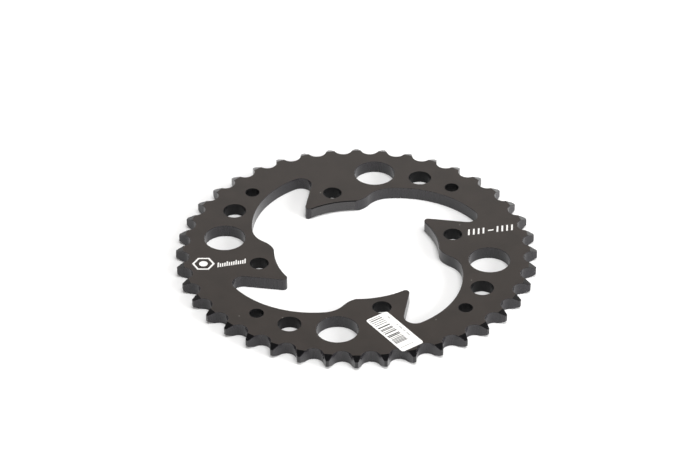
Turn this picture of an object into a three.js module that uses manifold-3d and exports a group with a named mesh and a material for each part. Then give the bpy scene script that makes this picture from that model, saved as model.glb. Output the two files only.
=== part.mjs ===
// Rear sprocket: one flat toothed plate with four swept lugs that bolt to the wheel hub,
// and the stock label stuck on its upper face.
//
// Millimetres, +Z up. The origin is on the sprocket's axis, in the plane of the underside.
// A tooth points along +X. Lug, bolt-hole and lightening-hole patterns repeat every quarter turn.

import * as THREE from 'three';
import { mergeVertices } from 'three/addons/utils/BufferGeometryUtils.js';
import Module from 'manifold-3d';

// --- driving dimensions -------------------------------------------------------------------

const TOOTH_COUNT = 40;
const CHAIN_PITCH = 12.7;            // 420 chain, half an inch
const PLATE_THICKNESS = 6;

const ROOT_BELOW_PITCH = 3.95;       // from the pitch circle down to the bottom of a tooth gap
const TIP_RADIUS = 83.2;
const SEAT_RADIUS = 4.43;            // round bottom of a tooth gap, where the chain's roller sits
const SEAT_HALF_ANGLE = 63;          // degrees each side of the gap's middle
const FLANK_RADIUS = 175;            // almost straight tooth side
const TOOTH_BEVEL_START = 79.9;      // radius where both faces begin to slope towards the tips
const TOOTH_BEVEL_DEPTH = 1.38;      // how far that slope comes in from each face at the tips

const BORE_RADIUS = 38;              // pilot bore, cut only on the ends of the lugs
const BORE_CHAMFER_TOP = 0.4;
const BORE_CHAMFER_BOTTOM = 0.9;     // lead-in for the hub spigot

const QUARTERS = 4;
const BOLT_HOLE = { radius: 4.3, circle: 46, angle: 14.3, sides: 24 };
const LARGE_HOLE = { radius: 9.5, circle: 61.5, angle: 82, sides: 36 };
const MEDIUM_HOLE = { radius: 5.25, circle: 64.4, angle: 62.2, sides: 24 };
const SMALL_HOLE = { radius: 3.25, circle: 66.5, angle: 47.5, sides: 16 };

// The window between two lugs, for the first quarter. Angles are in degrees.
const SWEEP_CENTRE = { circle: 19.8, angle: 14 };   // centre of the long outer arc
const SWEEP_RADIUS = 43.75;
const SHOULDER_CENTRE = { circle: 49.57, angle: 94.95 };
const SHOULDER_RADIUS = 12;          // where the lug's long back turns out from the bore
const BACK_RADIUS = 12;              // where that back runs into the long arc
const ROOT_FILLET_RADIUS = 5;        // far corner of the window
const FLANK_ANGLE = -8.8;            // straight front side of the lug
const FLANK_POINT = { x: 43, y: 22.5 };
const NOSE_ANGLE = 33.7;             // where the bore ends at the lug's nose
const NOSE_DIRECTION = 92;           // short end face of the nose
const NOSE_RADIUS = 1.8;

const LABEL = { length: 28, width: 11.7, thickness: 0.1, corner: 1.2, x: 16.9, y: -62.5, turn: -54.3 };

// Fineness of the round shapes.
const TURNED_SEGMENTS = 120;
const ARC_STEP = 9;                  // degrees of turn for each straight step of an arc
const GAP_STEP = 20;                 // the same for the round bottoms of the tooth gaps
const FLANK_STEP = 2.5;              // the same for the tooth sides
const LONG_ARC_STEP = 5;             // the same for the window's long outer arc
const CORNER_STEP = 15;              // the same for small rounded corners
const SPARE = 0.3;                   // teeth are cut this far past the tips, and turned afterwards
const LUG_SPARE = 2;                 // lugs are cut this far into the bore, and bored afterwards
const SAME_POINT = 1e-3;             // points closer than this are one point

// --- small helpers ------------------------------------------------------------------------

const radians = THREE.MathUtils.degToRad;
const vec = (x, y) => new THREE.Vector2(x, y);
const polar = (radius, angle) => vec(radius * Math.cos(angle), radius * Math.sin(angle));
const turned = (point, angle) => point.clone().rotateAround(vec(0, 0), angle);

// Adds the points of an arc that runs from angle `from` to angle `to` (radians), turning
// anticlockwise when `to` is the larger.
function addArc(points, centre, radius, from, to, stepDegrees) {
  const steps = Math.max(1, Math.round(Math.abs(to - from) / radians(stepDegrees)));
  for (let i = 0; i <= steps; i += 1) {
    points.push(centre.clone().add(polar(radius, from + ((to - from) * i) / steps)));
  }
}

// Centre of a circle that is `toFirst` from the first point and `toSecond` from the second,
// on the right-hand side of the line from first to second.
function centreBetween(first, second, toFirst, toSecond) {
  const line = second.clone().sub(first);
  const span = line.length();
  const along = (span ** 2 + toFirst ** 2 - toSecond ** 2) / (2 * span);
  const aside = Math.sqrt(toFirst ** 2 - along ** 2);
  line.normalize();
  return first.clone().addScaledVector(line, along).add(vec(line.y, -line.x).multiplyScalar(aside));
}

// How far along a ray (unit direction) its outer crossing with a circle about the origin lies.
function reach(start, direction, radius) {
  const middle = -start.dot(direction);
  return middle + Math.sqrt(middle ** 2 - start.lengthSq() + radius ** 2);
}

const withoutRepeats = (points) => points.filter((point, i) => {
  const before = points[(i + points.length - 1) % points.length];
  return point.distanceTo(before) > SAME_POINT;
});

// --- solids -------------------------------------------------------------------------------

const wasm = await Module();
wasm.setup();

function toSolid(geometry) {
  const bare = geometry.clone();
  bare.deleteAttribute('normal');
  bare.deleteAttribute('uv');
  const welded = mergeVertices(bare, 1e-4);
  return new wasm.Manifold(new wasm.Mesh({
    numProp: 3,
    vertProperties: new Float32Array(welded.attributes.position.array),
    triVerts: new Uint32Array(welded.index.array),
  }));
}

function toGeometry(solid) {
  const mesh = solid.getMesh();
  const geometry = new THREE.BufferGeometry();
  geometry.setAttribute('position', new THREE.BufferAttribute(mesh.vertProperties, 3));
  geometry.setIndex(new THREE.BufferAttribute(mesh.triVerts, 1));
  geometry.computeVertexNormals();
  return geometry;
}

function named(name, geometry, material) {
  const mesh = new THREE.Mesh(geometry, material);
  mesh.name = name;
  return mesh;
}

// --- the toothed outline ------------------------------------------------------------------

// One gap and the half-teeth beside it, for a gap whose middle lies along +X, from the tooth
// before the gap to the tooth after it.
function gapOutline() {
  const pitchRadius = CHAIN_PITCH / (2 * Math.sin(Math.PI / TOOTH_COUNT));
  const seatCentre = vec(pitchRadius - ROOT_BELOW_PITCH + SEAT_RADIUS, 0);
  const seatEnd = Math.PI - radians(SEAT_HALF_ANGLE);
  const leaving = polar(SEAT_RADIUS, seatEnd).add(seatCentre);
  const intoTooth = polar(1, seatEnd - Math.PI).negate();
  const flankCentre = leaving.clone().addScaledVector(intoTooth, FLANK_RADIUS);
  const flankStart = intoTooth.clone().negate().angle();
  const past = centreBetween(vec(0, 0), flankCentre, TIP_RADIUS + SPARE, FLANK_RADIUS);
  const flankEnd = past.sub(flankCentre).angle();

  const rising = [];
  addArc(rising, flankCentre, FLANK_RADIUS, flankStart, flankEnd, FLANK_STEP);
  const falling = rising.map((point) => vec(point.x, -point.y)).reverse();
  const seat = [];
  addArc(seat, seatCentre, SEAT_RADIUS, 2 * Math.PI - seatEnd, seatEnd, GAP_STEP);
  return [...falling, ...seat, ...rising];
}

function toothedOutline() {
  const gap = gapOutline();
  const pitchAngle = (2 * Math.PI) / TOOTH_COUNT;
  const points = [];
  for (let i = 0; i < TOOTH_COUNT; i += 1) {
    points.push(...gap.map((point) => turned(point, (i + 0.5) * pitchAngle)));
  }
  return withoutRepeats(points);
}

// --- the window around the hub ------------------------------------------------------------

// From one lug's nose, out round the window and back in to the next lug's shoulder.
function windowQuarter() {
  const points = [];
  const inner = BORE_RADIUS - LUG_SPARE;
  const sweep = polar(SWEEP_CENTRE.circle, radians(SWEEP_CENTRE.angle));
  const shoulder = polar(SHOULDER_CENTRE.circle, radians(SHOULDER_CENTRE.angle));
  const back = centreBetween(sweep, shoulder, SWEEP_RADIUS - BACK_RADIUS, BACK_RADIUS + SHOULDER_RADIUS);

  const flank = polar(1, radians(FLANK_ANGLE));
  const flankOut = vec(-flank.y, flank.x);
  const flankPoint = vec(FLANK_POINT.x, FLANK_POINT.y);
  const filletLine = flankPoint.clone().addScaledVector(flankOut, ROOT_FILLET_RADIUS);
  const filletReach = reach(filletLine.clone().sub(sweep), flank, SWEEP_RADIUS - ROOT_FILLET_RADIUS);
  const fillet = filletLine.addScaledVector(flank, filletReach);

  const noseStart = polar(BORE_RADIUS, radians(NOSE_ANGLE));
  const nose = polar(1, radians(NOSE_DIRECTION));
  const noseIn = vec(nose.y, -nose.x);
  const noseLine = noseStart.clone().addScaledVector(noseIn, NOSE_RADIUS);
  const below = -NOSE_RADIUS - noseLine.clone().sub(flankPoint).dot(flankOut);
  const noseCentre = noseLine.addScaledVector(nose, below / nose.dot(flankOut));

  points.push(polar(inner, radians(NOSE_ANGLE)));
  points.push(noseStart);
  addArc(points, noseCentre, NOSE_RADIUS, radians(NOSE_DIRECTION + 90), flankOut.angle(), CORNER_STEP);
  const joinAngle = fillet.clone().sub(sweep).angle();
  addArc(points, fillet, ROOT_FILLET_RADIUS, flankOut.angle() - Math.PI, joinAngle, ARC_STEP);
  const backAngle = back.clone().sub(sweep).angle();
  addArc(points, sweep, SWEEP_RADIUS, joinAngle, backAngle, LONG_ARC_STEP);
  const turnAngle = shoulder.clone().sub(back).angle();
  addArc(points, back, BACK_RADIUS, backAngle, turnAngle, ARC_STEP);

  const corner = centreBetween(vec(0, 0), shoulder, BORE_RADIUS, SHOULDER_RADIUS);
  const cornerAngle = corner.clone().sub(shoulder).angle() - 2 * Math.PI;
  addArc(points, shoulder, SHOULDER_RADIUS, turnAngle - Math.PI, cornerAngle, ARC_STEP);
  addArc(points, vec(0, 0), inner, corner.angle(), radians(NOSE_ANGLE + 90), ARC_STEP);
  return points;
}

function windowPath() {
  const quarter = windowQuarter();
  const points = [];
  for (let i = 0; i < QUARTERS; i += 1) {
    points.push(...quarter.map((point) => turned(point, (i * 2 * Math.PI) / QUARTERS)));
  }
  return new THREE.Path(withoutRepeats(points));
}

// Four round holes of one size, a quarter turn apart.
function holePaths(hole) {
  const paths = [];
  for (let i = 0; i < QUARTERS; i += 1) {
    const centre = polar(hole.circle, radians(hole.angle) + (i * 2 * Math.PI) / QUARTERS);
    const points = [];
    addArc(points, centre, hole.radius, 0, 2 * Math.PI, 360 / hole.sides);
    paths.push(new THREE.Path(withoutRepeats(points)));
  }
  return paths;
}

// --- the plate ----------------------------------------------------------------------------

// The turned blank: a ring with both tip bevels outside and the chamfered bore inside.
function turnedBlank() {
  const profile = [
    vec(BORE_RADIUS + BORE_CHAMFER_BOTTOM, 0),
    vec(TOOTH_BEVEL_START, 0),
    vec(TIP_RADIUS, TOOTH_BEVEL_DEPTH),
    vec(TIP_RADIUS, PLATE_THICKNESS - TOOTH_BEVEL_DEPTH),
    vec(TOOTH_BEVEL_START, PLATE_THICKNESS),
    vec(BORE_RADIUS + BORE_CHAMFER_TOP, PLATE_THICKNESS),
    vec(BORE_RADIUS, PLATE_THICKNESS - BORE_CHAMFER_TOP),
    vec(BORE_RADIUS, BORE_CHAMFER_BOTTOM),
    vec(BORE_RADIUS + BORE_CHAMFER_BOTTOM, 0),
  ];
  return new THREE.LatheGeometry(profile, TURNED_SEGMENTS).rotateX(Math.PI / 2);
}

function makePlate() {
  const outline = new THREE.Shape(toothedOutline());
  outline.holes.push(windowPath());
  for (const hole of [BOLT_HOLE, LARGE_HOLE, MEDIUM_HOLE, SMALL_HOLE]) {
    outline.holes.push(...holePaths(hole));
  }
  const cut = new THREE.ExtrudeGeometry(outline, { depth: PLATE_THICKNESS, bevelEnabled: false, steps: 1 });
  const anodised = new THREE.MeshStandardMaterial({ color: '#2b2927', roughness: 0.5, metalness: 0.75 });
  return named('sprocket_plate', toGeometry(toSolid(cut).intersect(toSolid(turnedBlank()))), anodised);
}

// --- the label ----------------------------------------------------------------------------

function makeLabel() {
  const turn = radians(LABEL.turn);
  const points = [];
  const corners = [[1, 1, 0], [-1, 1, 90], [-1, -1, 180], [1, -1, 270]];
  for (const [sideX, sideY, start] of corners) {
    const centre = vec(sideX * (LABEL.length / 2 - LABEL.corner), sideY * (LABEL.width / 2 - LABEL.corner));
    addArc(points, centre, LABEL.corner, radians(start), radians(start + 90), CORNER_STEP);
  }
  const placed = points.map((point) => turned(point, turn).add(vec(LABEL.x, LABEL.y)));
  const sheet = new THREE.ExtrudeGeometry(new THREE.Shape(placed), {
    depth: LABEL.thickness, bevelEnabled: false, steps: 1,
  });
  sheet.translate(0, 0, PLATE_THICKNESS);
  const paper = new THREE.MeshStandardMaterial({ color: '#f1f0ec', roughness: 0.7, metalness: 0 });
  return named('barcode_label', sheet, paper);
}

const sprocket = new THREE.Group();
sprocket.add(makePlate());
sprocket.add(makeLabel());

export default sprocket;
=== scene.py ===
"""Rear sprocket: the finished look of the plate, its stock label and its printed marks.

Lengths are in millimetres until a mesh is made, and angles in degrees until they are used.
The frame is the CAD part's: +Z up, origin on the axis in the plane of the underside.
"""

import math
from collections import namedtuple

import bmesh
import bpy
from mathutils import Matrix, Vector
from mathutils.geometry import delaunay_2d_cdt


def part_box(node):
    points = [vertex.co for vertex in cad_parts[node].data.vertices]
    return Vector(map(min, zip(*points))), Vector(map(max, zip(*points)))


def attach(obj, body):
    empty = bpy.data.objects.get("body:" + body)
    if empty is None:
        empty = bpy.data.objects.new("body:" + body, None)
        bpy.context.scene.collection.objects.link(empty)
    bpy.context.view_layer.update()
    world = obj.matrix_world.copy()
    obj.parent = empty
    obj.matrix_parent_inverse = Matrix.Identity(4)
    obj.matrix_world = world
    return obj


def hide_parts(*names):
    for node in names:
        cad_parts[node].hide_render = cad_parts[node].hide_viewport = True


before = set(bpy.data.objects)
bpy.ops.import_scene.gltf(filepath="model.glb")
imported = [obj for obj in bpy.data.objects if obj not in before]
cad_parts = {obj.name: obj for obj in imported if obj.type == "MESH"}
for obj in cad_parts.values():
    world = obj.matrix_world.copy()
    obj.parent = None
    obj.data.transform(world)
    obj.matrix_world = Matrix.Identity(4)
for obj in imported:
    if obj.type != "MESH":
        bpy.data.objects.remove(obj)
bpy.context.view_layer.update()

MM = 0.001
PLATE_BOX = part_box("sprocket_plate")
LABEL_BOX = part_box("barcode_label")
THICKNESS = PLATE_BOX[1].z / MM

# --- the plate's dimensions ---------------------------------------------------------------

TOOTH_COUNT = 40
CHAIN_PITCH = 12.7
ROOT_BELOW_PITCH = 3.95      # from the pitch circle down to the bottom of a tooth gap
TIP_RADIUS = PLATE_BOX[1].x / MM
SEAT_RADIUS = 4.43           # round bottom of a tooth gap
SEAT_HALF_ANGLE = 63         # each side of the gap's middle
FLANK_RADIUS = 175           # almost straight tooth side
TOOTH_BEVEL_START = 79.9     # radius where both faces begin to slope towards the tips
TOOTH_BEVEL_DEPTH = 1.38     # how far that slope comes in from each face at the tips

BORE_RADIUS = 38             # cut only on the ends of the lugs
BORE_CHAMFER_TOP = 0.4
BORE_CHAMFER_BOTTOM = 0.9

QUARTERS = 4
HOLES = [  # radius, pitch circle radius, angle of the first one
    (4.3, 46, 14.3),         # for the hub bolts
    (9.5, 61.5, 82),         # these and the rest make the plate lighter
    (5.25, 64.4, 62.2),
    (3.25, 66.5, 47.5),
]

# one quarter of the window; centres are a distance from the axis and an angle
SWEEP_CENTRE = (19.8, 14)        # of the long outer arc
SWEEP_RADIUS = 43.75
SHOULDER_CENTRE = (49.57, 94.95)
SHOULDER_RADIUS = 12             # where the lug's long back turns out from the bore
BACK_RADIUS = 12                 # where that back runs into the long arc
ROOT_FILLET_RADIUS = 5           # far corner of the window
FLANK_ANGLE = -8.8               # straight front side of the lug
FLANK_POINT = (43, 22.5)         # a point of that side
NOSE_ANGLE = 33.7                # where the bore ends at the lug's nose
NOSE_DIRECTION = 92              # short end face of the nose
NOSE_RADIUS = 1.8

EDGE = 0.14              # rounding of the edges between a wall and the flat faces
CORNER = 0.22            # rounding of the upright corners and of the tooth crests' side edges
TIP_EDGE = 0.25          # rounding where the tooth bevel meets the tooth's end
SHARP_ABOVE = 40         # an edge is sharp where its faces turn by more than this, in degrees
SAME_POINT = 1e-9        # points closer than this are one point, in metres

# how many straight steps each rounding and arc has
EDGE_STEPS = 3
TIP_STEPS = 3
CORNER_STEPS = 3
TURN_STEPS = 4           # for the corner between the shoulder and the bore
FLANK_STEPS = 4
CREST_STEPS = 4
SEAT_STEPS = 12
NOSE_STEPS = 8
FILLET_STEPS = 16
SWEEP_STEPS = 36
BACK_STEPS = 14
SHOULDER_STEPS = 14
BORE_STEPS = 14

# the plate's material slots, and what tells their faces apart
FLAT_FACE, MILLED_WALL, TURNED_FACE, BORED_WALL, DRILLED_WALL = range(5)
FLAT_ABOVE = 0.99        # a face is flat where its normal's Z is more than this
TURNED_BELOW = 0.1       # a face is turned where its normal leaves the radius by less than this
BORED_BELOW = 0.2        # a turned face in the bore is its wall where its normal's Z is less than this
DRILLED_BELOW = 6        # a hole is drilled where its radius is less than this, and milled otherwise

# --- the label's print and the marks on the plate -----------------------------------------

PRINT_THICKNESS = 0.018
PRINT_SINK = 0.002       # how deep a printed layer reaches into what it is printed on
LABEL_LENGTH = 28
LABEL_CENTRE = (16.9, -62.5)
LABEL_TURN = -54.3
BAR_SPAN = (-4.9, 1.5)   # across the label
BLACK_INK, GREY_INK, PALE_INK, FAINT_INK = range(4)
BARS = [  # distance from the label's upper end, width, ink
    (1.0, 0.35, PALE_INK),
    (2.1, 0.6, GREY_INK),
    (3.6, 0.4, PALE_INK),
    (4.9, 0.4, PALE_INK),
    (6.2, 0.4, PALE_INK),
    (8.0, 0.75, BLACK_INK),
    (9.9, 0.55, GREY_INK),
    (10.7, 0.5, GREY_INK),
    (12.0, 0.4, PALE_INK),
    (13.0, 0.7, GREY_INK),
    (15.1, 0.65, BLACK_INK),
    (16.0, 0.6, BLACK_INK),
    (17.3, 0.35, PALE_INK),
    (18.3, 0.45, GREY_INK),
    (19.1, 0.4, GREY_INK),
    (19.9, 0.45, GREY_INK),
    (20.7, 0.5, BLACK_INK),
    (21.5, 0.4, GREY_INK),
]
LONG_LINE = (25.0, 0.5, 7.0)     # distance from the upper end, width, length
SIDE_DASHES = [  # distance from the upper end, length
    (3.4, 1.8), (10.2, 1.2), (12.2, 2.2), (15.2, 1.6), (17.6, 2.6),
]
SIDE_DASH_PLACE = 3.6            # across the label
SIDE_DASH_WIDTH = 0.7

RING_CENTRE = (-70.1, -11.7)
RING_RADIUS = 5.2
RING_WIDTH = 1.0
RING_SIDES = 6
RING_DOT_RADIUS = 2.0
RING_DOT_SIDES = 32
MARK_SLANT = 0.25        # how far a stroke leans forward for its height
TALL_EVERY = 4           # every fourth stroke of the fine row is a tall one
LOW_STROKE, TALL_STROKE = 2.6, 3.4
FINE_ROW = [(1.05 * i, 0.62, LOW_STROKE if i % TALL_EVERY else TALL_STROKE) for i in range(13)]
BROAD_ROW = [(2.3 * i, 0.8, 4.4) for i in range(4)]
DASH = [(0, 2.6, 0.8)]
MARKS = [  # start, direction, and each stroke's place along the row, width and height
    ((-63.6, -14.4), 14, FINE_ROW),
    ((51.6, 10.6), 11, BROAD_ROW),
    ((61.0, 14.0), 11, DASH),
    ((64.9, 13.2), 11, BROAD_ROW),
]

# --- materials, floor, camera and light ---------------------------------------------------

NOISE_LOW, NOISE_HIGH = 0.3, 0.7     # most of a noise lies between these
SPECK_SHARE = 0.4                    # the part of the pattern's points that carry a speck
SPECK_CORE = 0.4                     # the part of a speck that is at full strength
DUST_SPACING, DUST_SIZE = 24, 0.35
DUST_COLOUR = (0.22, 0.21, 0.19)

FLOOR_HALF = 6                       # half the floor's side, in metres
FLOOR_DROP = 0.02                    # how far it lies below the plate
FLOOR_COLOUR = (0.9, 0.9, 0.9)
FLOOR_ROUGHNESS = 0.9

CAMERA_PLACE = Vector((-1.35, -1267.90, 926.57)) * MM     # from the centre of the top face
CAMERA_AIM = Vector((-3.02, 11.95, 0)) * MM               # on the top face's plane
CAMERA_ROLL = -0.0373                                     # in degrees
LENS, SENSOR = 175.39, 36
CLIP_START, CLIP_END = 0.05, 20      # in metres

FLOOR_LIGHT = ((0.2, -0.5, 2.2), 1.6, 46)     # place and side in metres, power in watts
SIDE_LIGHT = ((2.0, -1.0, 0.75), 1.4, 50)
SKY = [  # sine of the height above the horizon, colour as a part of the strength
    (0.00, (0.82, 0.82, 0.82)),
    (0.30, (0.80, 0.80, 0.79)),
    (0.42, (0.74, 0.73, 0.72)),
    (0.50, (0.58, 0.57, 0.56)),
    (0.58, (0.37, 0.355, 0.345)),
    (0.66, (0.15, 0.14, 0.13)),
    (0.78, (0.045, 0.043, 0.04)),
    (0.95, (0.02, 0.02, 0.02)),
]
SKY_STRENGTH = 1.9
SKY_SIDE = 0.35          # the sky changes from its left side to its right side within this
SKY_LEFT = 0.72
SKY_RIGHT = 1.08

Level = namedtuple("Level", "z inset bore tip")


# --- flat geometry ------------------------------------------------------------------------

def polar(radius, angle):
    """The point at that radius and angle, in radians."""
    return Vector((radius * math.cos(angle), radius * math.sin(angle)))


def angle_of(vector):
    return math.atan2(vector.y, vector.x)


def arc(centre, radius, start, end, steps, clockwise=False):
    """Points of an arc without its last one, so that arcs can follow one another."""
    whole = 2 * math.pi
    span = -((start - end) % whole or whole) if clockwise else (end - start) % whole or whole
    return [centre + polar(radius, start + span * i / steps) for i in range(steps)]


def centre_between(first, second, to_first, to_second):
    """The point that far from each of two points, to the right of the line between them."""
    line = second - first
    along = (line.length_squared + to_first**2 - to_second**2) / (2 * line.length)
    aside = math.sqrt(to_first**2 - along**2)
    line.normalize()
    return first + line * along + Vector((line.y, -line.x)) * aside


def reach(start, direction, radius):
    """How far along a ray its outer crossing with a circle about the origin lies."""
    middle = -start.dot(direction)
    return middle + math.sqrt(middle**2 - start.length_squared + radius**2)


def turned(points, angle):
    turn = Matrix.Rotation(angle, 2)
    return [turn @ point for point in points]


def tooth_outline(level):
    """The toothed outline at one level, anticlockwise, with as many points at every level."""
    origin = Vector((0, 0))
    pitch_angle = 2 * math.pi / TOOTH_COUNT
    pitch_radius = CHAIN_PITCH / (2 * math.sin(pitch_angle / 2))
    seat_centre = Vector((pitch_radius - ROOT_BELOW_PITCH + SEAT_RADIUS, 0))
    seat_end = math.pi - math.radians(SEAT_HALF_ANGLE)
    flank_centre = seat_centre + polar(SEAT_RADIUS + FLANK_RADIUS, seat_end)
    flank_radius = FLANK_RADIUS - level.inset
    corner = centre_between(origin, flank_centre, level.tip - CORNER, flank_radius - CORNER)
    flank_end = angle_of(corner - flank_centre)
    crest_start = angle_of(corner)

    rising = arc(flank_centre, flank_radius, seat_end - math.pi, flank_end, FLANK_STEPS)
    rising += arc(corner, CORNER, flank_end, crest_start, CORNER_STEPS)
    rising.append(polar(level.tip, crest_start))
    falling = [Vector((point.x, -point.y)) for point in reversed(rising)]
    seat_radius = SEAT_RADIUS + level.inset
    seat = arc(seat_centre, seat_radius, -seat_end, seat_end, SEAT_STEPS, clockwise=True)
    crest = arc(origin, level.tip, crest_start, pitch_angle - crest_start, CREST_STEPS)
    unit = falling + seat[1:] + rising + crest[1:]
    points = []
    for i in range(TOOTH_COUNT):
        points += turned(unit, (i + 0.5) * pitch_angle)
    return points


def window_outline(level):
    """The window round the hub at one level: four swept openings joined by the bore."""
    origin = Vector((0, 0))
    inset = level.inset
    sweep = polar(SWEEP_CENTRE[0], math.radians(SWEEP_CENTRE[1]))
    shoulder = polar(SHOULDER_CENTRE[0], math.radians(SHOULDER_CENTRE[1]))
    sweep_reach = SWEEP_RADIUS - BACK_RADIUS
    back = centre_between(sweep, shoulder, sweep_reach, BACK_RADIUS + SHOULDER_RADIUS)

    flank = polar(1, math.radians(FLANK_ANGLE))
    flank_out = Vector((-flank.y, flank.x))
    flank_point = Vector(FLANK_POINT)
    fillet_line = flank_point + flank_out * ROOT_FILLET_RADIUS
    fillet_reach = SWEEP_RADIUS - ROOT_FILLET_RADIUS
    fillet = fillet_line + flank * reach(fillet_line - sweep, flank, fillet_reach)

    nose_start = polar(BORE_RADIUS, math.radians(NOSE_ANGLE))
    nose = polar(1, math.radians(NOSE_DIRECTION))
    nose_in = Vector((nose.y, -nose.x))
    nose_line = nose_start + nose_in * NOSE_RADIUS
    below = -NOSE_RADIUS - (nose_line - flank_point).dot(flank_out)
    nose_centre = nose_line + nose * (below / nose.dot(flank_out))

    nose_base = nose_start + nose_in * (inset + CORNER)
    nose_corner = nose_base + nose * reach(nose_base, nose, level.bore + CORNER)
    nose_side = angle_of(-nose_in)
    if (nose_corner - nose_centre).dot(nose) > 0:     # the bore's chamfer reaches the round nose
        nose_reach = NOSE_RADIUS - inset - CORNER
        nose_corner = centre_between(nose_centre, origin, nose_reach, level.bore + CORNER)
        nose_side = angle_of(nose_corner - nose_centre)
    shoulder_reach = SHOULDER_RADIUS - inset - CORNER
    shoulder_corner = centre_between(origin, shoulder, level.bore + CORNER, shoulder_reach)

    flank_side = angle_of(flank_out)
    join = angle_of(fillet - sweep)
    back_start = angle_of(back - sweep)
    back_end = angle_of(shoulder - back)
    shoulder_end = angle_of(shoulder_corner - shoulder)
    bore_start = angle_of(shoulder_corner)
    bore_end = angle_of(nose_corner) + math.pi / 2

    nose_radius = NOSE_RADIUS - inset
    shoulder_radius = SHOULDER_RADIUS - inset
    turn_in = angle_of(-nose_corner)
    turn_out = bore_start + math.pi
    leave = back_end + math.pi
    quarter = arc(nose_corner, CORNER, turn_in, nose_side, CORNER_STEPS, clockwise=True)
    quarter += arc(nose_centre, nose_radius, nose_side, flank_side, NOSE_STEPS, clockwise=True)
    quarter += [nose_centre + polar(nose_radius, flank_side)]
    quarter += arc(fillet, ROOT_FILLET_RADIUS + inset, flank_side - math.pi, join, FILLET_STEPS)
    quarter += arc(sweep, SWEEP_RADIUS + inset, join, back_start, SWEEP_STEPS)
    quarter += arc(back, BACK_RADIUS + inset, back_start, back_end, BACK_STEPS)
    quarter += arc(shoulder, shoulder_radius, leave, shoulder_end, SHOULDER_STEPS, clockwise=True)
    quarter += arc(shoulder_corner, CORNER, shoulder_end, turn_out, TURN_STEPS, clockwise=True)
    quarter += arc(origin, level.bore, bore_start, bore_end, BORE_STEPS)
    points = []
    for i in range(QUARTERS):
        points += turned(quarter, i * math.pi / 2)
    return points


def hole_outline(radius, circle, angle):
    """A function that gives one hole's outline at a level."""
    centre = polar(circle, angle)
    sides = 8 * round(2 + radius)     # more for a larger hole, and always a multiple of eight
    return lambda level: arc(centre, radius + level.inset, 0, 2 * math.pi, sides)


# --- the plate ----------------------------------------------------------------------------

def tip_rounding():
    """The tooth bevel's slope, the turn from it to the tooth's end, and where that turn ends."""
    slope = math.atan2(TOOTH_BEVEL_DEPTH, TIP_RADIUS - TOOTH_BEVEL_START)
    turn = math.pi / 2 - slope
    return slope, turn, TOOTH_BEVEL_DEPTH + TIP_EDGE * math.tan(turn / 2)


def plate_level(drop, underside):
    """The outline's settings at a depth below the top face, or above the underside."""
    sweep = min(drop / EDGE, 1)
    inset = EDGE * (1 - math.sqrt(1 - (1 - sweep) ** 2))
    chamfer = BORE_CHAMFER_BOTTOM if underside else BORE_CHAMFER_TOP
    bore = BORE_RADIUS + max(chamfer - drop, 0)

    slope, turn, round_end = tip_rounding()
    round_start = round_end - TIP_EDGE * math.sin(turn)
    if drop <= round_start:
        tip = TOOTH_BEVEL_START + drop / math.tan(slope)
    else:
        aside = max(round_end - drop, 0)
        tip = TIP_RADIUS - TIP_EDGE + math.sqrt(TIP_EDGE**2 - aside**2)
    z = drop if underside else THICKNESS - drop
    return Level(z, inset, bore, tip)


def plate_levels():
    """Levels from the top face down to the underside."""
    slope, turn, round_end = tip_rounding()
    drops = [EDGE * (1 - math.cos(math.radians(90 * i / EDGE_STEPS))) for i in range(EDGE_STEPS)]
    middle = (BORE_CHAMFER_TOP + BORE_CHAMFER_BOTTOM) / 2
    drops += [EDGE, BORE_CHAMFER_TOP, middle, BORE_CHAMFER_BOTTOM]
    angles = [turn * (TIP_STEPS - i) / TIP_STEPS for i in range(TIP_STEPS + 1)]
    drops += [round_end - TIP_EDGE * math.sin(angle) for angle in angles]
    upper = [plate_level(drop, underside=False) for drop in drops]
    lower = [plate_level(drop, underside=True) for drop in reversed(drops)]
    return upper + lower


def add_wall(bm, outline, levels):
    """One wall of quads through every level. Returns its top and bottom rings of vertices."""
    rings = []
    for level in levels:
        rings.append([bm.verts.new((p.x * MM, p.y * MM, level.z * MM)) for p in outline(level)])
    for upper, lower in zip(rings, rings[1:]):
        for i in range(len(upper)):
            bm.faces.new((upper[i - 1], upper[i], lower[i], lower[i - 1]))
    return rings[0], rings[-1]


def encloses(ring, point):
    """Whether a closed ring of vertices goes round a point, seen from above."""
    crossings = 0
    for first, second in zip(ring, ring[1:] + ring[:1]):
        (ax, ay), (bx, by) = first.co.xy, second.co.xy
        if (ay > point.y) != (by > point.y):
            crossings += point.x < ax + (bx - ax) * (point.y - ay) / (by - ay)
    return crossings % 2 == 1


def cap(bm, rings):
    """The flat face between the outer ring, which comes first, and the rings of the openings."""
    corners = [vertex for ring in rings for vertex in ring]
    ring_of = [number for number, ring in enumerate(rings) for vertex in ring]
    borders = []
    for ring in rings:
        first = len(borders)
        borders += [(first + i, first + (i + 1) % len(ring)) for i in range(len(ring))]
    flat = [vertex.co.xy for vertex in corners]
    inside_only = 1
    found = delaunay_2d_cdt(flat, borders, [], inside_only, SAME_POINT)
    triangles, sources = found[2], found[3]
    for triangle in triangles:
        picked = [sources[i][0] for i in triangle]
        numbers = {ring_of[i] for i in picked}
        middle = sum((flat[i] for i in picked), Vector((0, 0))) / 3
        opening = max(numbers)
        if len(numbers) == 1 and opening > 0 and encloses(rings[opening], middle):
            continue
        bm.faces.new([corners[i] for i in picked])
    for first, second in borders:
        bm.edges.get((corners[first], corners[second])).smooth = False


def new_object(name, bm, materials):
    mesh = bpy.data.meshes.new(name)
    bm.to_mesh(mesh)
    bm.free()
    for material in materials:
        mesh.materials.append(material)
    piece = bpy.data.objects.new(name, mesh)
    bpy.context.scene.collection.objects.link(piece)
    return piece


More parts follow.
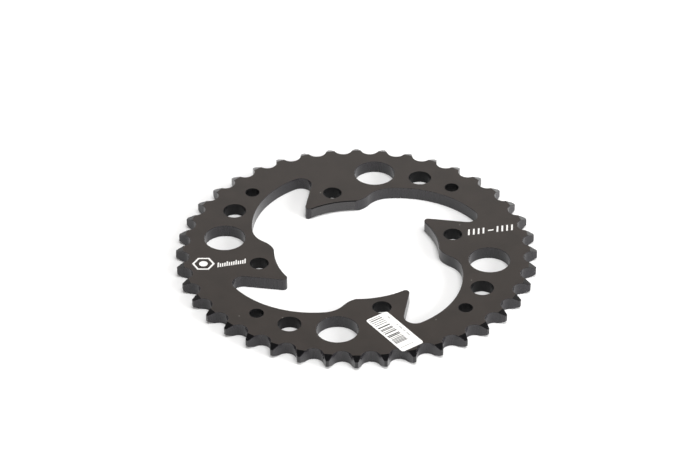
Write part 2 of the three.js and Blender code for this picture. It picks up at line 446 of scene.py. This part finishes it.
def in_drilled_hole(point):
    """Whether a point of the plate is inside a drilled hole or on its wall."""
    for radius, circle, first in HOLES:
        for i in range(QUARTERS):
            centre = polar(circle, math.radians(first + 90 * i)) * MM
            if radius < DRILLED_BELOW and (point - centre).length < (radius + EDGE) * MM:
                return True
    return False


def kind_of_face(face):
    """Which of the plate's finishes a face has."""
    if abs(face.normal.z) > FLAT_ABOVE:
        return FLAT_FACE
    middle = face.calc_center_median().xy
    if in_drilled_hole(middle):
        return DRILLED_WALL
    aside = abs(middle.normalized().cross(face.normal.xy.normalized()))
    in_bore = middle.length < (BORE_RADIUS + BORE_CHAMFER_BOTTOM) * MM
    in_teeth = middle.length > (TOOTH_BEVEL_START - EDGE) * MM
    if aside > TURNED_BELOW or not (in_bore or in_teeth):
        return MILLED_WALL
    return BORED_WALL if in_bore and abs(face.normal.z) < BORED_BELOW else TURNED_FACE


def make_plate(materials):
    bm = bmesh.new()
    levels = plate_levels()
    outlines = [tooth_outline, window_outline]
    for radius, circle, angle in HOLES:
        for i in range(QUARTERS):
            outlines.append(hole_outline(radius, circle, math.radians(angle + 90 * i)))
    walls = [add_wall(bm, outline, levels) for outline in outlines]
    cap(bm, [top for top, bottom in walls])
    cap(bm, [bottom for top, bottom in walls])
    bmesh.ops.recalc_face_normals(bm, faces=bm.faces)
    for face in bm.faces:
        face.smooth = True
        face.material_index = kind_of_face(face)
    for edge in bm.edges:
        if len(edge.link_faces) == 2 and edge.calc_face_angle() > math.radians(SHARP_ABOVE):
            edge.smooth = False
    plate = new_object("sprocket_plate_finished", bm, materials)
    weighted = plate.modifiers.new("even shading", "WEIGHTED_NORMAL")
    weighted.keep_sharp = True
    return plate


# --- printed layers -----------------------------------------------------------------------

def add_rings(bm, outline, under):
    """The corners of an outline at the top and the bottom of a printed layer."""
    heights = (under + PRINT_THICKNESS, under - PRINT_SINK)
    return [[bm.verts.new((p.x * MM, p.y * MM, z * MM)) for p in outline] for z in heights]


def add_layer(bm, outline, under, opening=(), ink=0):
    """A closed printed layer with that outline, and an opening with as many corners or none."""
    upper, lower = add_rings(bm, outline, under)
    faces = []
    if opening:
        top, bottom = add_rings(bm, opening, under)
        pairs = [(upper, top), (top, bottom), (bottom, lower), (lower, upper)]
    else:
        faces += [bm.faces.new(upper), bm.faces.new(lower)]
        pairs = [(upper, lower)]
    for first, second in pairs:
        for i in range(len(outline)):
            faces.append(bm.faces.new((first[i - 1], first[i], second[i], second[i - 1])))
    for face in faces:
        face.material_index = ink


def stroke(start, direction, along, width, height, slant):
    """A stroke of a row that starts there and runs in that direction, in degrees."""
    row = math.radians(direction)
    foot = Vector(start) + polar(along, row)
    across = polar(width, row)
    up = polar(height, row + math.pi / 2) + polar(height * slant, row)
    return [foot, foot + across, foot + across + up, foot + up]


def make_label_print(inks):
    bm = bmesh.new()
    length = math.radians(LABEL_TURN)
    upper_end = Vector(LABEL_CENTRE) - polar(LABEL_LENGTH / 2, length)
    under = LABEL_BOX[1].z / MM
    low, high = BAR_SPAN
    line_place, line_width, line_length = LONG_LINE
    strokes = [(low, place, width, high - low, ink) for place, width, ink in BARS]
    strokes.append((low, line_place, line_width, line_length, FAINT_INK))
    for place, dash_length in SIDE_DASHES:
        strokes.append((SIDE_DASH_PLACE, place, dash_length, SIDE_DASH_WIDTH, FAINT_INK))
    for side, place, width, height, ink in strokes:
        start = upper_end + polar(side, length + math.pi / 2)
        add_layer(bm, stroke(start, LABEL_TURN, place, width, height, 0), under, ink=ink)
    bmesh.ops.recalc_face_normals(bm, faces=bm.faces)
    return new_object("label_bars", bm, inks)


def make_marks(material):
    bm = bmesh.new()
    centre = Vector(RING_CENTRE)
    outer = arc(centre, RING_RADIUS, 0, 2 * math.pi, RING_SIDES)
    inner = arc(centre, RING_RADIUS - RING_WIDTH, 0, 2 * math.pi, RING_SIDES)
    add_layer(bm, outer, THICKNESS, opening=inner)
    add_layer(bm, arc(centre, RING_DOT_RADIUS, 0, 2 * math.pi, RING_DOT_SIDES), THICKNESS)
    for start, direction, strokes in MARKS:
        for along, width, height in strokes:
            add_layer(bm, stroke(start, direction, along, width, height, MARK_SLANT), THICKNESS)
    bmesh.ops.recalc_face_normals(bm, faces=bm.faces)
    return new_object("white_marks", bm, [material])


# --- materials ----------------------------------------------------------------------------

def new_material(name):
    material = bpy.data.materials.new(name)
    material.use_nodes = True
    nodes = material.node_tree.nodes
    return material, nodes, material.node_tree.links, nodes["Principled BSDF"]


def set_number(shader, **values):
    for name, value in values.items():
        shader.inputs[name.replace("_", " ")].default_value = value


def grain(nodes, links, size, detail=2):
    """Noise with grains of that size along X, Y and Z."""
    place = nodes.new("ShaderNodeTexCoord")
    stretch = nodes.new("ShaderNodeMapping")
    stretch.inputs["Scale"].default_value = [1 / (length * MM) for length in size]
    noise = nodes.new("ShaderNodeTexNoise")
    noise.inputs["Scale"].default_value = 1
    noise.inputs["Detail"].default_value = detail
    links.new(place.outputs["Object"], stretch.inputs["Vector"])
    links.new(stretch.outputs["Vector"], noise.inputs["Vector"])
    return noise.outputs["Fac"]


def turning_marks(nodes, links, pitch):
    """Noise that changes only with the distance from the axis, over that pitch."""
    place = nodes.new("ShaderNodeTexCoord")
    flat = nodes.new("ShaderNodeVectorMath")
    flat.operation = "MULTIPLY"
    flat.inputs[1].default_value = (1 / (pitch * MM), 1 / (pitch * MM), 0)
    length = nodes.new("ShaderNodeVectorMath")
    length.operation = "LENGTH"
    noise = nodes.new("ShaderNodeTexNoise")
    noise.noise_dimensions = "1D"
    noise.inputs["Scale"].default_value = 1
    links.new(place.outputs["Object"], flat.inputs[0])
    links.new(flat.outputs["Vector"], length.inputs[0])
    links.new(length.outputs["Value"], noise.inputs["W"])
    return noise.outputs["Fac"]


def specks(nodes, links, spacing, size):
    """Some of the points of a loose pattern of that spacing, each a speck of that size."""
    place = nodes.new("ShaderNodeTexCoord")
    cells = nodes.new("ShaderNodeTexVoronoi")
    cells.voronoi_dimensions = "2D"
    cells.inputs["Scale"].default_value = 1 / (spacing * MM)
    near = nodes.new("ShaderNodeMapRange")
    set_number(near, From_Min=size / spacing, From_Max=SPECK_CORE * size / spacing)
    chosen = nodes.new("ShaderNodeMath")
    chosen.operation = "GREATER_THAN"
    chosen.inputs[1].default_value = 1 - SPECK_SHARE
    both = nodes.new("ShaderNodeMath")
    both.operation = "MULTIPLY"
    links.new(place.outputs["Object"], cells.inputs["Vector"])
    links.new(cells.outputs["Distance"], near.inputs["Value"])
    links.new(cells.outputs["Color"], chosen.inputs[0])
    links.new(near.outputs["Result"], both.inputs[0])
    links.new(chosen.outputs["Value"], both.inputs[1])
    return both.outputs["Value"]


def spread(nodes, links, value, low, high):
    """A noise value, stretched to the range from low to high."""
    scale = nodes.new("ShaderNodeMapRange")
    set_number(scale, From_Min=NOISE_LOW, From_Max=NOISE_HIGH, To_Min=low, To_Max=high)
    links.new(value, scale.inputs["Value"])
    return scale.outputs["Result"]


def blend(nodes, links, factor, first, second):
    """A mix of two colours. The first may be an output of another node."""
    mix = nodes.new("ShaderNodeMix")
    mix.data_type = "RGBA"
    links.new(factor, mix.inputs["Factor"])
    if isinstance(first, tuple):
        mix.inputs["A"].default_value = (*first, 1)
    else:
        links.new(first, mix.inputs["A"])
    mix.inputs["B"].default_value = (*second, 1)
    return mix.outputs["Result"]


def relief(nodes, links, shader, height, depth):
    bump = nodes.new("ShaderNodeBump")
    bump.inputs["Distance"].default_value = depth * MM
    links.new(height, bump.inputs["Height"])
    links.new(bump.outputs["Normal"], shader.inputs["Normal"])


def dress(nodes, links, shader, texture, dark, light, rough):
    """Gives a shader a colour and a roughness that both follow one texture."""
    factor = spread(nodes, links, texture, 0, 1)
    links.new(blend(nodes, links, factor, dark, light), shader.inputs["Base Color"])
    links.new(spread(nodes, links, texture, *rough), shader.inputs["Roughness"])


def anodised_face():
    """Black anodising on the flat faces: a fine satin grain with a little dust."""
    material, nodes, links, shader = new_material("black_anodised_face")
    set_number(shader, IOR=1.55)
    cloud = spread(nodes, links, grain(nodes, links, (9, 9, 9)), 0, 1)
    colour = blend(nodes, links, cloud, (0.0150, 0.0106, 0.0081), (0.0208, 0.0149, 0.0118))
    dust = specks(nodes, links, DUST_SPACING, DUST_SIZE)
    links.new(blend(nodes, links, dust, colour, DUST_COLOUR), shader.inputs["Base Color"])
    fine = grain(nodes, links, (0.7, 0.7, 0.7), detail=3)
    links.new(spread(nodes, links, fine, 0.28, 0.37), shader.inputs["Roughness"])
    relief(nodes, links, shader, grain(nodes, links, (0.35, 0.35, 0.35)), 0.004)
    return material


def milled_wall():
    """The same anodising over upright milling marks, a little brighter and bluer in colour: a painted
    tint that stands in for the floor's reflection in the walls.
    """
    material, nodes, links, shader = new_material("black_milled_wall_painted_reflection")
    set_number(shader, IOR=1.5)
    marks = grain(nodes, links, (1.1, 1.1, 25), detail=3)
    # painted reflection: these bluer, slightly brighter colours stand in for the floor seen in the
    # walls; the milling streaks are real
    dark, light = (0.0125, 0.0115, 0.0132), (0.0190, 0.0176, 0.0203)
    dress(nodes, links, shader, marks, dark, light, rough=(0.26, 0.18))
    relief(nodes, links, shader, marks, 0.0018)
    return material


def turned_face():
    """The same anodising over fine turning marks, on the bevels and chamfers, in much darker colours
    that paint the shade the bevels show under the dark overhead.
    """
    material, nodes, links, shader = new_material("black_turned_face_painted_shade")
    set_number(shader, IOR=1.52)
    marks = turning_marks(nodes, links, 0.16)
    # painted shade: far darker than the flat faces, for bevels that face the dark overhead; the
    # turning marks are real
    dark, light = (0.0030, 0.0030, 0.0033), (0.0060, 0.0060, 0.0066)
    dress(nodes, links, shader, marks, dark, light, rough=(0.17, 0.24))
    relief(nodes, links, shader, marks, 0.003)
    return material


def bored_wall():
    """The same anodising on the bore, with feed marks that run round it, in brighter, redder colours
    that paint the light the bore wall catches.
    """
    material, nodes, links, shader = new_material("black_bored_wall_painted_light")
    set_number(shader, IOR=1.6)
    marks = grain(nodes, links, (6, 6, 0.3))
    # painted light: brighter and redder than the milled walls, for the light the bore wall catches;
    # the feed marks are real
    dark, light = (0.013, 0.012, 0.013), (0.023, 0.021, 0.022)
    dress(nodes, links, shader, marks, dark, light, rough=(0.20, 0.28))
    relief(nodes, links, shader, marks, 0.002)
    return material


def drilled_wall():
    """The same anodising on the drilled holes, which are rougher, with much darker colours that paint
    the shade inside these small holes.
    """
    material, nodes, links, shader = new_material("black_drilled_wall_painted_shade")
    set_number(shader, IOR=1.3)
    marks = grain(nodes, links, (3, 3, 0.25))
    # painted shade: much darker than the milled walls, for the shade inside the small holes; the extra
    # roughness is real
    dark, light = (0.0042, 0.0042, 0.0046), (0.0075, 0.0074, 0.0080)
    dress(nodes, links, shader, marks, dark, light, rough=(0.32, 0.42))
    relief(nodes, links, shader, marks, 0.003)
    return material


def label_stock():
    """Coated white label paper with a faint fibre."""
    material, nodes, links, shader = new_material("white_label_paper")
    set_number(shader, IOR=1.45)
    fibre = grain(nodes, links, (1.4, 1.4, 1.4), detail=4)
    dark, light = (0.80, 0.792, 0.776), (0.86, 0.852, 0.836)
    dress(nodes, links, shader, fibre, dark, light, rough=(0.42, 0.55))
    relief(nodes, links, shader, fibre, 0.006)
    return material


def printed_ink(name, dark, light, rough=(0.45, 0.58)):
    """A printed colour that covers unevenly."""
    material, nodes, links, shader = new_material(name)
    cover = grain(nodes, links, (0.5, 0.5, 0.5), detail=3)
    dress(nodes, links, shader, cover, dark, light, rough)
    return material


# --- camera, floor and light --------------------------------------------------------------

def make_camera():
    data = bpy.data.cameras.new("camera")
    data.lens = LENS
    data.sensor_width = SENSOR
    data.clip_start = CLIP_START
    data.clip_end = CLIP_END
    camera = bpy.data.objects.new("camera", data)
    bpy.context.scene.collection.objects.link(camera)
    centre = Vector((0, 0, PLATE_BOX[1].z))
    aim = (CAMERA_AIM - CAMERA_PLACE).to_track_quat("-Z", "Y").to_matrix()
    camera.matrix_world = (
        Matrix.Translation(centre + CAMERA_PLACE)
        @ aim.to_4x4()
        @ Matrix.Rotation(math.radians(CAMERA_ROLL), 4, "Z")
    )
    bpy.context.scene.camera = camera


def make_floor():
    bm = bmesh.new()
    bmesh.ops.create_grid(bm, x_segments=2, y_segments=2, size=FLOOR_HALF)
    bmesh.ops.translate(bm, verts=bm.verts, vec=(0, 0, -FLOOR_DROP * MM))
    material, nodes, links, shader = new_material("studio_floor")
    shader.inputs["Base Color"].default_value = (*FLOOR_COLOUR, 1)
    shader.inputs["Roughness"].default_value = FLOOR_ROUGHNESS
    shader.inputs["Specular IOR Level"].default_value = 0
    floor = new_object("studio_floor", bm, [material])


def soft_light(name, place, size, power):
    """A square soft light aimed at the origin, which no reflection shows."""
    data = bpy.data.lights.new(name, "AREA")
    data.shape = "SQUARE"
    data.size = size
    data.energy = power
    light = bpy.data.objects.new(name, data)
    bpy.context.scene.collection.objects.link(light)
    light.location = place
    light.rotation_euler = Vector(place).to_track_quat("Z", "Y").to_euler()
    light.visible_glossy = False


def colour_ramp(nodes, stops):
    ramp = nodes.new("ShaderNodeValToRGB")
    ramp.color_ramp.elements.remove(ramp.color_ramp.elements[1])
    for i, (position, colour) in enumerate(stops):
        element = ramp.color_ramp.elements[0] if i == 0 else ramp.color_ramp.elements.new(position)
        element.position = position
        element.color = (*colour, 1)
    return ramp


def make_light():
    world = bpy.data.worlds.new("studio")
    bpy.context.scene.world = world
    world.use_nodes = True
    nodes, links = world.node_tree.nodes, world.node_tree.links
    direction = nodes.new("ShaderNodeTexCoord")
    split = nodes.new("ShaderNodeSeparateXYZ")
    links.new(direction.outputs["Generated"], split.inputs[0])
    height = colour_ramp(nodes, SKY)
    links.new(split.outputs["Z"], height.inputs[0])
    side = nodes.new("ShaderNodeMapRange")
    set_number(side, From_Min=-SKY_SIDE, From_Max=SKY_SIDE)
    set_number(side, To_Min=SKY_LEFT * SKY_STRENGTH, To_Max=SKY_RIGHT * SKY_STRENGTH)
    links.new(split.outputs["X"], side.inputs["Value"])
    background = nodes["Background"]
    links.new(side.outputs["Result"], background.inputs["Strength"])
    links.new(height.outputs["Color"], background.inputs["Color"])
    soft_light("floor_light", *FLOOR_LIGHT)
    soft_light("side_light", *SIDE_LIGHT)


make_camera()
make_floor()
make_light()
bpy.context.scene.view_settings.view_transform = "Standard"

plate = make_plate([anodised_face(), milled_wall(), turned_face(), bored_wall(), drilled_wall()])
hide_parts("sprocket_plate")
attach(plate, "root")

white = printed_ink("white_mark", (0.62, 0.61, 0.59), (0.86, 0.85, 0.83), rough=(0.5, 0.63))
white_marks = make_marks(white)
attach(white_marks, "root")

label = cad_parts["barcode_label"]
label.data.materials.clear()
label.data.materials.append(label_stock())
black_ink = printed_ink("black_ink", (0.008, 0.008, 0.008), (0.02, 0.02, 0.019))
grey_ink = printed_ink("grey_ink", (0.035, 0.034, 0.032), (0.085, 0.082, 0.078))
pale_ink = printed_ink("pale_ink", (0.07, 0.068, 0.064), (0.15, 0.146, 0.138))
faint_ink = printed_ink("faint_ink", (0.36, 0.355, 0.345), (0.50, 0.495, 0.485))
bars = make_label_print([black_ink, grey_ink, pale_ink, faint_ink])
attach(bars, "root")
